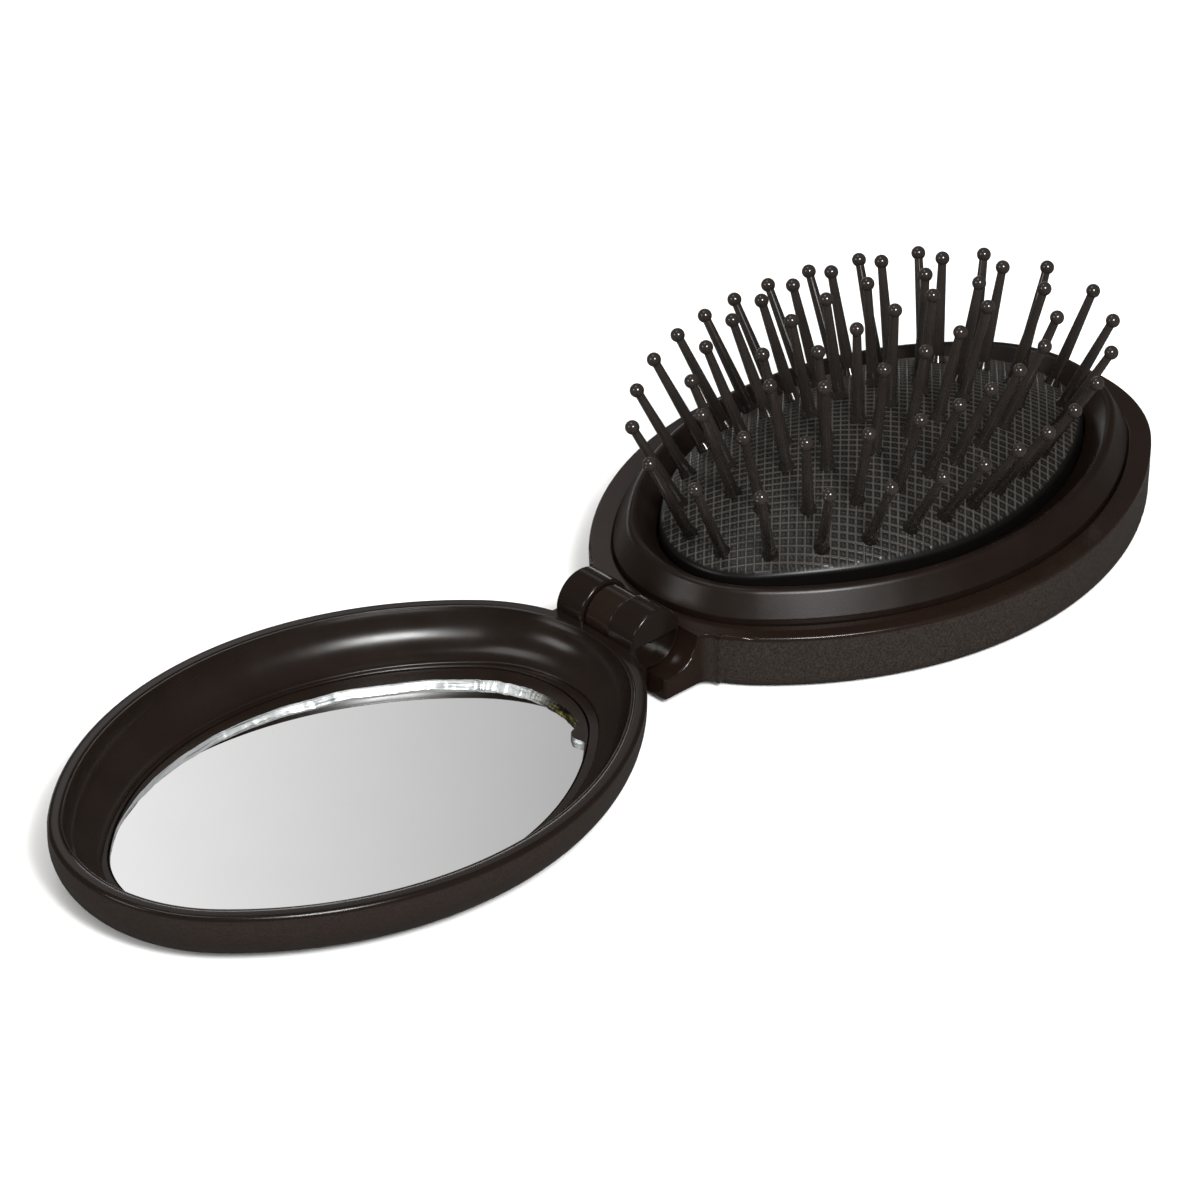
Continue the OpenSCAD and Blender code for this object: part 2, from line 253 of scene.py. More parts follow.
# Where polish gives way to texture and to the wall's painted sheen: away from the hinge axis, and
# downwards from the rim, mm.
TEXTURE_AND_PAINTED_SHEEN_AWAY = (5.0, 6.6)
TEXTURE_AND_PAINTED_SHEEN_BELOW = (8.1, 7.7)
# Heights over the floor between which the pins' colour turns paler, a painted light towards the tips, mm.
PINS_PAINTED_LIGHT = (13.0, 25.0)


def moulded(name, colours, roughness, grain_mm, depth_mm, edge_mm=0.0, smooth_top=None, extra=None):
    """A moulded plastic: two close colours, a roughness range, and a grain with a depth.

    smooth_top holds the colours of the polished parts: those above the rim and near the hinge. The wall's
    colours are set lighter than these, a painted sheen.
    """
    material, tree = new_material(name)
    patches = grain(tree, PATCH_MM, detail=3.0)
    fine = grain(tree, grain_mm)
    rough = spread(tree, patches, *roughness)
    texture_and_painted_sheen = 1.0
    edges = None
    if smooth_top:
        beyond_hinge = along_axis(tree, "X", *TEXTURE_AND_PAINTED_SHEEN_AWAY, absolute=True)
        below_rim = along_axis(tree, "Z", *TEXTURE_AND_PAINTED_SHEEN_BELOW)
        texture_and_painted_sheen = product(tree, beyond_hinge, below_rim)
        rough = blend_values(tree, texture_and_painted_sheen, POLISHED_ROUGHNESS, rough)
        # The wall's colours: real grain in specks, and lighter than the top as a painted sheen.
        speckle_and_painted_sheen = two_colours(tree, spread(tree, fine, *UNIT), *colours)
        plain = two_colours(tree, patches, *smooth_top)
        colour = blend_colours(tree, texture_and_painted_sheen, plain, speckle_and_painted_sheen)
    else:
        colour = two_colours(tree, patches, *colours)
    if edge_mm:
        edges = soft_edges(tree, edge_mm, HINGE_EDGE_MM if smooth_top else None)
    surface(tree, "ShaderNodeBsdfPrincipled", {
        "Base Color": colour, "Roughness": rough, "IOR": PLASTIC_IOR,
        "Normal": bumped(tree, fine, depth_mm, texture_and_painted_sheen, edges), **(extra or {})})
    return material


def casing_abs():
    """Black ABS from a spark-eroded mould: a fine grain of specks on the wall, with a painted sheen that
    makes the wall lighter than the top, which is polished.
    """
    return moulded("abs_spark_eroded", ("#1e1815", "#332c27"), (0.36, 0.44), grain_mm=0.3,
                   depth_mm=0.02, edge_mm=0.3, smooth_top=("#1a110d", "#201611"))


def lid_abs():
    """Black ABS, finer grained than the casing: the round wall keeps a longer sheen, and a painted sheen
    makes the wall lighter than the top.
    """
    return moulded("abs_fine_satin", ("#1f1713", "#2b231e"), (0.34, 0.42), grain_mm=0.24,
                   depth_mm=0.012, edge_mm=0.6, smooth_top=("#140e0a", "#1a130f"))


def bezel_abs():
    """Black ABS with a soft polish: an even, warm sheen on the cone."""
    return moulded("abs_soft_polish", ("#150d09", "#1b120d"), (0.27, 0.35), grain_mm=0.25,
                   depth_mm=0.006, edge_mm=0.12, extra={"IOR": 1.39})


def frame_abs():
    """Black ABS, polished: the cove around the glass gathers the light into one long streak."""
    return moulded("abs_polished", ("#16100c", "#1f1712"), (0.20, 0.27), grain_mm=1.4,
                   depth_mm=0.0015, edge_mm=0.25)


def nylon():
    """Nylon pins: shiny on the ball tips, and painted paler up the shafts: painted light that grows
    towards the top.
    """
    material, tree = new_material("nylon_moulded")
    patches = grain(tree, 3.0)
    foot = two_colours(tree, patches, "#120e0b", "#191411")
    # The paler shaft colour is painted light.
    painted_lit_shaft = two_colours(tree, patches, "#231f1c", "#2e2926")
    surface(tree, "ShaderNodeBsdfPrincipled", {
        "Base Color": blend_colours(tree, along_axis(tree, "Z", *PINS_PAINTED_LIGHT), foot, painted_lit_shaft),
        "Roughness": spread(tree, patches, 0.08, 0.13), "IOR": 1.58})
    return material


def cushion_rubber():
    """Pressed rubber: dull black hollows, and raised lines that are shinier and painted greyer, a painted
    highlight.
    """
    material, tree = new_material("pressed_rubber")
    ridges_and_painted_highlight = add_node(tree, "ShaderNodeAttribute", attribute_name="raised").outputs["Fac"]
    tone = product(tree, ridges_and_painted_highlight, spread(tree, grain(tree, 5.0, detail=3.0), 0.75, 1.0))
    surface(tree, "ShaderNodeBsdfPrincipled", {
        # The grey on the lines and pillow tops is a painted highlight.
        "Base Color": two_colours(tree, tone, "#090706", "#4a4642"),
        "Roughness": remap(tree, ridges_and_painted_highlight, UNIT, (0.36, 0.22)), "IOR": PLASTIC_IOR,
        "Normal": bumped(tree, grain(tree, 0.12), depth_mm=0.003)})
    return material


def drawn_steel():
    """Steel wire of the hinge pin, oxidised dark at its cut end."""
    return moulded("steel_wire_browned", ("#3c3733", "#4d4742"), (0.25, 0.38), grain_mm=0.08,
                   depth_mm=0.002, extra={"Metallic": 1.0})


def foam_tape():
    """White foam tape, matt and a little uneven."""
    return moulded("foam_tape_closed_cell", ("#dcdad3", "#eceae4"), (0.75, 0.9), grain_mm=0.4,
                   depth_mm=0.02)


def silvering():
    """The silvered back of the glass: a clean mirror with a trace of haze."""
    material, tree = new_material("silvered_mirror_glass")
    haze = grain(tree, 9.0, detail=3.0)
    surface(tree, "ShaderNodeBsdfPrincipled", {
        "Base Color": two_colours(tree, haze, "#f0f1f0", "#f4f5f4"),
        "Roughness": spread(tree, haze, 0.012, 0.02), "Metallic": 1.0})
    return material


def ground_edge():
    """The ground rim of the glass: silvery streaks along the edge, warm flakes where it chipped."""
    material, tree = new_material("ground_glass_edge")
    place = add_node(tree, "ShaderNodeAttribute", attribute_name="along").outputs["Vector"]
    streaks = add_node(tree, "ShaderNodeTexNoise", {
        "Vector": place, "Scale": 1.0, "Detail": 5.0, "Roughness": 0.65}).outputs["Fac"]
    chips = add_node(tree, "ShaderNodeAttribute", attribute_name="chipped").outputs["Fac"]
    silver = ramp(tree, streaks, (0.34, "#555a5b"), (0.5, "#eef2f2"))
    flakes = ramp(tree, streaks, (0.5, "#1d1b14"), (0.66, "#a39a55"))
    surface(tree, "ShaderNodeBsdfPrincipled", {
        "Base Color": blend_colours(tree, chips, silver, flakes), "Roughness": 0.34,
        "Metallic": 0.8, "Normal": bumped(tree, streaks, depth_mm=0.1)})
    return material


def dark_edge():
    """The side of the glass, which looks black in its seat."""
    return moulded("glass_side_black", ("#17100c", "#211812"), (0.22, 0.3), grain_mm=1.2,
                   depth_mm=0.003)


# ---- meshes ---------------------------------------------------------------------------------

def dress(node, material):
    """Gives a CAD node its material."""
    mesh = NODES[node].data
    mesh.materials.clear()
    mesh.materials.append(material)


def piece_from(name, vertices, faces, material, smooth=True):
    """Makes a mesh object from millimetres in the CAD frame."""
    mesh = bpy.data.meshes.new(name)
    mesh.from_pydata([tuple(v) for v in np.asarray(vertices) * MM], [], faces)
    mesh.polygons.foreach_set("use_smooth", [smooth] * len(mesh.polygons))
    mesh.materials.append(material)
    mesh.update()
    piece = bpy.data.objects.new(name, mesh)
    bpy.context.scene.collection.objects.link(piece)
    return piece


# How far the flat next to a rounded corner runs on before the first bend, mm.
FLAT_RUN = 0.06


def rounded_profile(corners, steps=8):
    """Points of a closed profile. Each corner is (inset, height above the rim, radius)."""
    points = []
    count = len(corners)
    for k, (inset, height, radius) in enumerate(corners):
        here = np.array([inset, height])
        if not radius:
            points.append(here)
            continue
        before = np.array(corners[k - 1][:2]) - here
        after = np.array(corners[(k + 1) % count][:2]) - here
        before, after = before / np.linalg.norm(before), after / np.linalg.norm(after)
        half = math.acos(float(np.clip(before @ after, -1, 1))) / 2
        reach = radius / math.tan(half)
        middle = before + after
        centre = here + middle / np.linalg.norm(middle) * radius / math.sin(half)
        start, end = here + before * reach - centre, here + after * reach - centre
        points.append(here + before * (reach + FLAT_RUN))
        turn = math.pi - 2 * half
        for step in range(steps + 1):
            share = step / steps
            points.append(centre + (start * math.sin((1 - share) * turn)
                                    + end * math.sin(share * turn)) / math.sin(turn))
        points.append(here + after * (reach + FLAT_RUN))
    return points


def swept_ring(name, profile, centre_x, material, turns=480):
    """Sweeps a closed profile, given for each angle, round the oval of one half."""
    vertices, faces = [], []
    count = len(profile(0.0))
    for k in range(turns):
        angle = 2 * math.pi * k / turns
        for inset, height in profile(angle):
            x, y = oval_point(angle, inset)
            vertices.append((x + centre_x, y, RIM_Z + height))
        for n in range(count):
            here, there = k * count, (k + 1) % turns * count
            faces.append((here + n, here + (n + 1) % count, there + (n + 1) % count, there + n))
    piece = piece_from(name, vertices, faces, material)
    mesh = bmesh.new()
    mesh.from_mesh(piece.data)
    bmesh.ops.recalc_face_normals(mesh, faces=mesh.faces)
    mesh.to_mesh(piece.data)
    mesh.free()
    piece.data.set_sharp_from_angle(angle=math.radians(35))
    return piece


# ---- settings -------------------------------------------------------------------------------

class HAIRBRUSH_PG_cushion(bpy.types.PropertyGroup):
    """Sizes of the cushion's relief"""
    pitch: FloatProperty(name="Pitch", description="Distance between the raised lines",
                         default=1.14 * MM, unit="LENGTH", precision=5)
    line_height: FloatProperty(name="Line height", description="Height of the raised lines",
                               default=0.19 * MM, unit="LENGTH", precision=5)
    line_width: FloatProperty(name="Line width", description="Width of the raised lines",
                              default=0.32 * MM, unit="LENGTH", precision=5)
    pillow: FloatProperty(name="Pillow", description="Height of the pillow in each square",
                          default=0.12 * MM, unit="LENGTH", precision=5)
    samples: IntProperty(name="Samples", description="Mesh steps in one pitch", default=8)
    edge_inset: FloatProperty(name="Edge inset", description="Inset of the dome's edge from the outline",
                              default=9.6 * MM, unit="LENGTH", precision=5)


class HAIRBRUSH_PG_glass(bpy.types.PropertyGroup):
    """Sizes of the mirror glass, its cut and its ground edge"""
    inset: FloatProperty(name="Inset", description="Inset of the edge of the glass",
                         default=7.92 * MM, unit="LENGTH", precision=5)
    off_x: FloatProperty(name="Off centre X", description="How far the cut lies off the middle",
                         default=-2.17 * MM, unit="LENGTH", precision=5)
    off_y: FloatProperty(name="Off centre Y", description="How far the cut lies off the middle",
                         default=-1.65 * MM, unit="LENGTH", precision=5)
    silver_z: FloatProperty(name="Silver height", description="Height of the middle of the silver",
                            default=1.82 * MM, unit="LENGTH", precision=5)
    lean: FloatProperty(name="Lean", description="How far the silver sinks towards the ground edge",
                        default=math.radians(0.95), unit="ROTATION")
    band: FloatProperty(name="Band", description="Width of the ground edge at its widest",
                        default=0.95 * MM, unit="LENGTH", precision=5)
    band_angle: FloatProperty(name="Band angle", description="Where the ground edge is widest",
                              default=math.radians(46.6), unit="ROTATION")
    wander: FloatProperty(name="Wander", description="How far the cut wanders",
                          default=0.45 * MM, unit="LENGTH", precision=5)
    chips_angle: FloatProperty(name="Chips angle", description="Where the edge is chipped",
                               default=math.radians(-13), unit="ROTATION")


class HAIRBRUSH_PG_rings(bpy.types.PropertyGroup):
    """Sizes of the bezel and of the cove round the glass"""
    crest_inset: FloatProperty(name="Crest inset", description="Inset of the bezel's crest",
                               default=5.65 * MM, unit="LENGTH", precision=5)
    crest_height: FloatProperty(name="Crest height", description="Height of the crest over the rim",
                                default=4.8 * MM, unit="LENGTH", precision=5)
    crest_round: FloatProperty(name="Crest round", description="Radius of the crest",
                               default=1.0 * MM, unit="LENGTH", precision=5)
    cove_end: FloatProperty(name="Cove end", description="Inset of the step at the foot of the cove",
                            default=6.4 * MM, unit="LENGTH", precision=5)
    cove_more: FloatProperty(name="Cove more", description="How much wider the cove is at the far side",
                             default=1.2 * MM, unit="LENGTH", precision=5)
    wide_angle: FloatProperty(name="Wide angle", description="Where the cove is widest",
                              default=math.radians(75), unit="ROTATION")
    step_round: FloatProperty(name="Step round", description="Radius of the step's edge",
                              default=0.22 * MM, unit="LENGTH", precision=5)


class HAIRBRUSH_PG_stage(bpy.types.PropertyGroup):
    """Place and lens of the camera"""
    azimuth: FloatProperty(name="Azimuth", description="Camera azimuth from the -Y side",
                           default=math.radians(-43.347), unit="ROTATION")
    elevation: FloatProperty(name="Elevation", description="Camera height above the floor",
                             default=math.radians(32.364), unit="ROTATION")
    distance: FloatProperty(name="Distance", description="Camera distance from the middle of the hinge",
                            default=1211.523 * MM, unit="LENGTH")
    shift_right: FloatProperty(name="Shift right", description="Camera offset that frames the brush",
                               default=-2.363 * MM, unit="LENGTH", precision=5)
    shift_up: FloatProperty(name="Shift up", description="Camera offset that frames the brush",
                            default=2.474 * MM, unit="LENGTH", precision=5)
    lens: FloatProperty(name="Lens", description="Focal length", default=270.0, unit="CAMERA")


class HAIRBRUSH_PG_settings(bpy.types.PropertyGroup):
    """All settings of the hairbrush"""
    cushion: PointerProperty(type=HAIRBRUSH_PG_cushion)
    glass: PointerProperty(type=HAIRBRUSH_PG_glass)
    rings: PointerProperty(type=HAIRBRUSH_PG_rings)
    stage: PointerProperty(type=HAIRBRUSH_PG_stage)


# ---- plastics -------------------------------------------------------------------------------

class HAIRBRUSH_OT_plastics(bpy.types.Operator):
    """Gives the moulded parts, the pins and the hinge pin their materials"""
    bl_idname = "hairbrush.plastics"
    bl_label = "Plastics"

    def execute(self, context):
        pin = nylon()
        finishes = {"brush_casing": casing_abs(), "mirror_shell": lid_abs(),
                    "cushion_retainer": bezel_abs(), "hinge_pin": drawn_steel(),
                    "mirror_tape": foam_tape()}
        finishes.update({node: pin for node in NODES if node.startswith("pins_")})
        for node, finish in finishes.items():
            dress(node, finish)
        return {"FINISHED"}


# ---- bezel and mirror frame -----------------------------------------------------------------

# The cove: inset of its lip, radius of its quarter round, depth of the arc's centre under the rim,
# all in mm, and the points along the arc.
COVE_LIP = 2.1
COVE_RADIUS = 5.1
COVE_TOP = 0.3
COVE_STEPS = 40
# Heights of the narrow ledge round the glass and of the frame's underside, from the rim, mm.
LEDGE_TOP = -5.95
FRAME_FOOT = -6.7


class HAIRBRUSH_OT_rings(bpy.types.Operator):
    """Sweeps the bezel of the cushion and the coved frame of the mirror"""
    bl_idname = "hairbrush.rings"
    bl_label = "Bezel and frame"

    def execute(self, context):
        settings = context.scene.hairbrush.rings
        bezel = self.bezel_profile(settings)
        piece = swept_ring("bezel_moulding", lambda angle: bezel, CENTRE_X, bezel_abs())
        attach(piece, "head")
        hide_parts("bezel_ring")
        piece = swept_ring("mirror_frame_moulding", lambda angle: self.frame_profile(settings, angle),
                           -CENTRE_X, frame_abs())
        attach(piece, "mirror")
        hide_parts("mirror_frame")
        return {"FINISHED"}

    def bezel_profile(self, settings):
        """The cone up to the crest, the inner bevel down to the cushion, and the hollow below."""
        crest = settings.crest_inset / MM
        height = settings.crest_height / MM
        return rounded_profile((
            # Foot flange that the casing's ledge holds down, and the foot of the outer wall.
            (2.8, -1.1, 0), (2.8, -0.7, 0), (3.35, -0.7, 0),
            # Lower edge of the cone, crest, and lip of the opening.
            (3.35, 0.84, 0.25), (crest, height, settings.crest_round / MM), (9.3, 2.0, 0.25),
            # Face that presses on the cushion, hollow under the crest, and inside of the outer wall.
            (9.3, 0.8, 0), (8.3, 0.8, 0), (8.3, 1.4, 0), (crest, height - 1.9, 0),
            (4.65, 1.04, 0), (4.65, -1.1, 0)))

    def frame_profile(self, settings, angle):
        """The cove: a quarter round from the lip down to a step, then the ledge round the glass."""
        facing = max(0.0, math.cos(angle - settings.wide_angle))
        end = (settings.cove_end + settings.cove_more * facing) / MM
        middle = COVE_LIP + COVE_RADIUS
        last = math.pi + math.acos((middle - end) / COVE_RADIUS)
        cove = [(COVE_LIP, 0.0)]
        cove += [(middle + COVE_RADIUS * math.cos(a), -COVE_TOP + COVE_RADIUS * math.sin(a))
                 for a in np.linspace(math.pi, last, COVE_STEPS)]
        foot = cove.pop()
        corners = rounded_profile((
            cove[-1] + (0,), foot + (settings.step_round / MM,),
            # The ledge and the wall of the opening.
            (end + 0.02, LEDGE_TOP, 0), (7.7, LEDGE_TOP, 0), (7.7, FRAME_FOOT, 0),
            # The outside, rounded as the shell that it lies in.
            (1.8, FRAME_FOOT, 4.7), (1.8, 0, 0)))
        return cove[:-1] + [tuple(p) for p in corners]


# ---- cushion --------------------------------------------------------------------------------

# How the dome rolls over into its wall: mm inside the edge, and mm below the dome.
ROLL = ((0.42, 0.0), (0.28, 0.02), (0.14, 0.1), (0.04, 0.26), (0.0, 0.5))
# Height over the rim of the foot of the wall, mm.
WALL_FOOT = 0.2


def relief_height(u, v, settings):
    """Height of the square relief over u and v, which run across it, and how raised a point is, which
    sets its painted highlight.
    """
    pitch, width = settings.pitch / MM, settings.line_width / MM

    def from_line(t):
        """Distance to the nearest raised line, as a share of the pitch."""
        return np.abs(t / pitch - np.round(t / pitch))

    du, dv = from_line(u), from_line(v)
    line = np.clip(1 - np.minimum(du, dv) * pitch / (width / 2), 0, 1)
    line = line * (2 - line)
    pillow = (np.sin(math.pi * du) * np.sin(math.pi * dv)) ** 2
    height = line * settings.line_height / MM + pillow * settings.pillow / MM
    # Only the very top of a pillow gets the painted highlight, and less than the lines do.
    return height, np.maximum(line, 0.3 * pillow ** 3)


def cushion_mesh(settings):
    """Vertices, quads and raised values of the dome, on a grid that runs along the lines."""
    step = settings.pitch / MM / settings.samples
    edge = settings.edge_inset / MM
    reach = int((HALF_L + HALF_W) / math.sqrt(2) / step) + 2
    axis = np.arange(-reach, reach + 1) * step
    u, v = np.meshgrid(axis, axis, indexing="ij")
    # The lines cross the brush at 45 degrees.
    x, y = (u - v) / math.sqrt(2), (u + v) / math.sqrt(2)
    inside = inset_of(x, y) >= edge + ROLL[0][0]
    quad = inside[:-1, :-1] & inside[1:, :-1] & inside[1:, 1:] & inside[:-1, 1:]
    number = -np.ones(u.shape, int)
    used = np.zeros(u.shape, bool)
    for di in (0, 1):
        for dj in (0, 1):
            used[di:used.shape[0] - 1 + di, dj:used.shape[1] - 1 + dj] |= quad
    number[used] = np.arange(used.sum())
    i, j = np.nonzero(quad)
    faces = np.stack([number[i, j], number[i + 1, j], number[i + 1, j + 1], number[i, j + 1]], 1)
    xs, ys = x[used], y[used]
    heights, raised = relief_height(u[used], v[used], settings)
    return np.stack([xs, ys, dome_height(xs, ys) + heights], 1), faces, raised


class HAIRBRUSH_OT_cushion(bpy.types.Operator):
    """Builds the domed rubber cushion with its square relief and its wall"""
    bl_idname = "hairbrush.cushion"
    bl_label = "Cushion"

    def execute(self, context):
        settings = context.scene.hairbrush.cushion
        points, faces, raised = cushion_mesh(settings)
        points = points + np.array([CENTRE_X, 0, RIM_Z])
        piece = piece_from("cushion_dome", points, faces.tolist(), cushion_rubber())
        piece.data.attributes.new("raised", "FLOAT", "POINT").data.foreach_set("value", raised)
        self.close_edge(piece, settings)
        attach(piece, "head")
        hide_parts("cushion_pad")
        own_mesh(piece)
        return {"FINISHED"}

    def close_edge(self, piece, settings):
        """Draws the grid's ragged edge onto the oval, rolls it over and drops it as a wall."""
        edge = settings.edge_inset / MM
        mesh = bmesh.new()
        mesh.from_mesh(piece.data)
        raised = mesh.verts.layers.float["raised"]
        border = [e for e in mesh.edges if e.is_boundary]
        for step, (inside, drop) in enumerate(ROLL):
            if step:
                border = self.pulled(mesh, border)
            for vertex in {v for e in border for v in e.verts}:
                x, y = nearest_on_oval(vertex.co.x / MM - CENTRE_X, vertex.co.y / MM, edge + inside)
                height = RIM_Z + float(dome_height(x, y)) - drop
                vertex.co = ((x + CENTRE_X) * MM, y * MM, height * MM)
                vertex[raised] = 0.0
        for vertex in {v for e in self.pulled(mesh, border) for v in e.verts}:
            vertex.co.z = (RIM_Z + WALL_FOOT) * MM
        mesh.to_mesh(piece.data)
        mesh.free()

    def pulled(self, mesh, border):
        """Adds one ring of faces along a border and returns the new border."""
        added = bmesh.ops.extrude_edge_only(mesh, edges=border)["geom"]
        return [e for e in added if isinstance(e, bmesh.types.BMEdge) and e.is_boundary]


# ---- glass ----------------------------------------------------------------------------------

# Material slots of the glass.
SILVER, SIDE, GROUND = 0, 1, 2
# The steps round the glass, and the first of its rings that belongs to the ground edge.
GLASS_TURNS = 900
GROUND_RING = 2
# Least distance from the edge of the glass to the cut, and least width of the ground edge, mm.
CUT_CLEARANCE = 0.05
LEAST_BAND = 0.03
# Chipped stretch and square tab beside it: half widths, and how far the tab lies on, in degrees.
CHIPS_DEGREES = 24
TAB_DEGREES = 6
TAB_AWAY = 22
# How deep the tab is cut into the glass, and how much the chips widen the ground edge, mm.
TAB_DEPTH = 1.5
CHIPS_WIDTH = 0.3
# Noise along the cut: roughness, lacunarity and octaves of the long waves and the short nicks.
WAVES = (0.8, 2.3, 5)
NICKS = (0.6, 2.1, 4)
# Scale of the streaks on the ground edge: per radian along it, and per mm across it.
STREAKS_ALONG = 4
STREAKS_ACROSS = 5.0


def bump_at(angle, middle, half_degrees):
    """1 around one angle and 0 away from it."""
    away = math.remainder(angle - middle, 2 * math.pi) / math.radians(half_degrees)
    return math.exp(-away ** 4)


class HAIRBRUSH_OT_glass(bpy.types.Operator):
    """Builds the mirror glass: a silvered face, cut a little off centre, with a ground far edge"""
    bl_idname = "hairbrush.glass"
    bl_label = "Mirror glass"

    def execute(self, context):
        rings, along, chipped = self.rings(context.scene.hairbrush.glass)
        turns = GLASS_TURNS
        last = len(rings) - 1
        faces, kinds = [], []
        for ring in range(last):
            below, above = ring * turns, (ring + 1) * turns
            for k in range(turns):
                n = (k + 1) % turns
                faces.append((below + k, below + n, above + n, above + k))
                kinds.append(GROUND if ring >= GROUND_RING else SIDE)
        faces += [tuple(range(last * turns, (last + 1) * turns)), tuple(range(turns - 1, -1, -1))]
        kinds += [SILVER, SIDE]
        piece = piece_from("mirror_face", sum(rings, []), faces, silvering(), smooth=False)
        piece.data.materials.append(dark_edge())
        piece.data.materials.append(ground_edge())
        piece.data.polygons.foreach_set("material_index", kinds)
        piece.data.polygons.foreach_set("use_smooth", [kind == GROUND for kind in kinds])
        place = piece.data.attributes.new("along", "FLOAT_VECTOR", "POINT")
        place.data.foreach_set("vector", np.array(along).ravel())
        piece.data.attributes.new("chipped", "FLOAT", "POINT").data.foreach_set("value", chipped)
        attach(piece, "mirror")
        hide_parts("mirror_glass")
        return {"FINISHED"}

    def rings(self, settings):
        """Rings from the underside to the silver, with streak coordinates and chip values."""
        low, high = box_mm("mirror_glass")
        inset = settings.inset / MM
        shift = np.array([settings.off_x, settings.off_y]) / MM
        far = np.array([math.cos(settings.band_angle), math.sin(settings.band_angle)])
        rings = [[] for _ in range(6)]
        streaks = [[] for _ in range(6)]
        flakes = [[] for _ in range(6)]

        def silver(point):
            """Height of the leaning silver."""
            return settings.silver_z / MM - math.tan(settings.lean) * float(point @ far)

        for k in range(GLASS_TURNS):
            angle = 2 * math.pi * k / GLASS_TURNS
            out = np.array([math.cos(angle), math.sin(angle)])
            edge = np.array(oval_point(angle, inset))
            cut = edge + shift
            if inset_of(*cut) < inset + CUT_CLEARANCE:
                cut = np.array(nearest_on_oval(*cut, inset + CUT_CLEARANCE))
            # The cut wanders in long waves and short nicks, and breaks at the chips and the tab.
            place = Vector((*out, 0.0)) * 9
            wander = noise.fractal(place, *WAVES) * settings.wander / MM
            nicks = noise.fractal(place * 5, *NICKS) * settings.wander / MM
            chips = bump_at(angle, settings.chips_angle, CHIPS_DEGREES)
            tab = bump_at(angle, settings.chips_angle - math.radians(TAB_AWAY), TAB_DEGREES)
            facing = max(0.0, float(out @ far))
            cut = cut - out * (0.5 * wander * facing + 0.4 * chips * abs(nicks) + TAB_DEPTH * tab + 0.02)
            width = settings.band / MM * facing * (1 + 0.35 * wander + 0.25 * nicks)
            width = max((width + CHIPS_WIDTH * chips) * (1 - tab), LEAST_BAND)
            inner = cut - out * width
            middle = (cut + inner) / 2
            inmost = inner - out * 0.02
            # Underside and top of the side, the cut, the ground edge, and the rim of the silver.
            for ring, (point, z, across) in enumerate((
                    (edge, low[2], 0), (edge, high[2] - 0.05, 0), (cut, high[2] - 0.08, 0),
                    (middle, (high[2] + silver(inner)) / 2 + 0.012 * nicks, width / 2),
                    (inner, silver(inner) + 0.02, width), (inmost, silver(inmost), width))):
                rings[ring].append((point[0] - CENTRE_X, point[1], z))
                streaks[ring].append((*(out * STREAKS_ALONG), across * STREAKS_ACROSS))
                flakes[ring].append(chips)
        return rings, sum(streaks, []), sum(flakes, [])


# ---- stage ----------------------------------------------------------------------------------

# Softboxes: name, place, the point they face, size in metres, and watts.
HINGE = (0, 0, 0)
KEY = Vector((-0.27, -0.66, 0.70))
LIGHTS = (
    ("softbox_key", KEY, HINGE, (0.46, 0.46), 3.4),
    ("softbox_core", KEY * 0.98, HINGE, (0.24, 0.24), 6.0),
    ("softbox_top", (-0.08, 0.27, 0.95), HINGE, (0.35, 0.3), 0.9),
    ("strip_back", (0.55, 1.1, 0.07), (0, 0, 0.03), (1.3, 0.13), 1.0),
    ("softbox_left", (-0.95, 0.3, 0.5), HINGE, (0.4, 0.3), 1.6),
)
# World strength for matt surfaces and for reflections.
FILL = 0.8
ROOM = 0.07
FLOOR_HALF = 1.6
# The card: half its length and height, its distance from the glass and its shift off the line of
# sight, all in metres. Then the places along it, and the strengths of its light at each.
CARD_HALF = (0.15, 0.1)
CARD_AWAY = 1.6
CARD_SHIFT = (-0.045, 0.035)
CARD_SPAN = (-0.061, 0.065)
CARD_LIGHT = (0.88, 0.507)


def area_light(name, place, target, size, power):
    """A rectangular softbox at place that faces target. Sizes in metres, power in watts."""
    light = bpy.data.lights.new(name, "AREA")
    light.shape = "RECTANGLE"
    light.size, light.size_y = size
    light.energy = power
    lamp = bpy.data.objects.new(name, light)
    lamp.location = place
    lamp.rotation_euler = (Vector(target) - Vector(place)).to_track_quat("-Z", "Y").to_euler()
    bpy.context.scene.collection.objects.link(lamp)


def flat_sheet(name, half_x, half_y, material):
    """A flat rectangle round the origin, sizes in metres."""
    corners = [(-half_x, -half_y, 0), (half_x, -half_y, 0), (half_x, half_y, 0), (-half_x, half_y, 0)]
    mesh = bpy.data.meshes.new(name)
    mesh.from_pydata(corners, [], [(0, 1, 2, 3)])
    mesh.materials.append(material)
    sheet = bpy.data.objects.new(name, mesh)
    bpy.context.scene.collection.objects.link(sheet)
    return sheet


